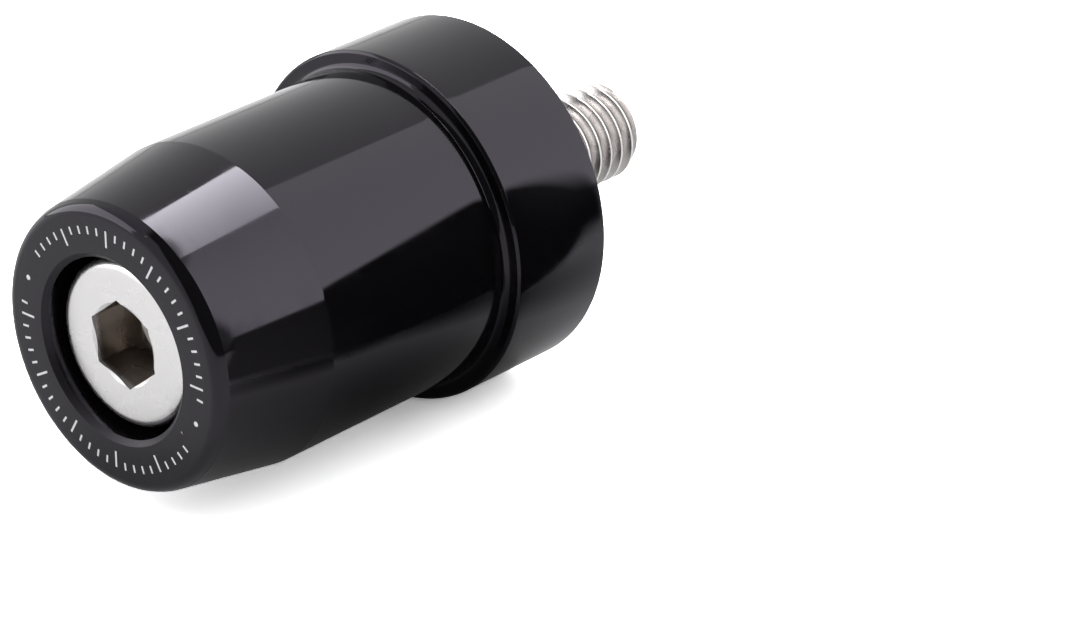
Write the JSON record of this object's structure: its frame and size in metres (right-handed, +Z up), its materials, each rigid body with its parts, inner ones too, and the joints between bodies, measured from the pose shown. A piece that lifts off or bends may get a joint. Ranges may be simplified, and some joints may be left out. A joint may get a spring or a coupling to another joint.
{
  "type": "bar end weight",
  "caption": "Turned bar end weight: tapered black barrel with a rear collar, clamped by a recessed socket cap screw whose threaded end stands out behind.",
  "frame": {"origin": "on the turning axis, in the plane of the collar's rear face, which seats against the end of the handlebar", "axes": "+Y along the turning axis, out of the threaded end; -Y out of the front face; +Z up"},
  "size_m": [0.028, 0.0542, 0.028],
  "materials": {
    "black_anodised": "gloss black anodised over fine turning marks",
    "stainless": "plain stainless, satin head face and bright rolled thread"
  },
  "bodies": {
    "root": {"weight_body": "black_anodised", "cap_screw": "stainless"}
  },
  "joints": []
}
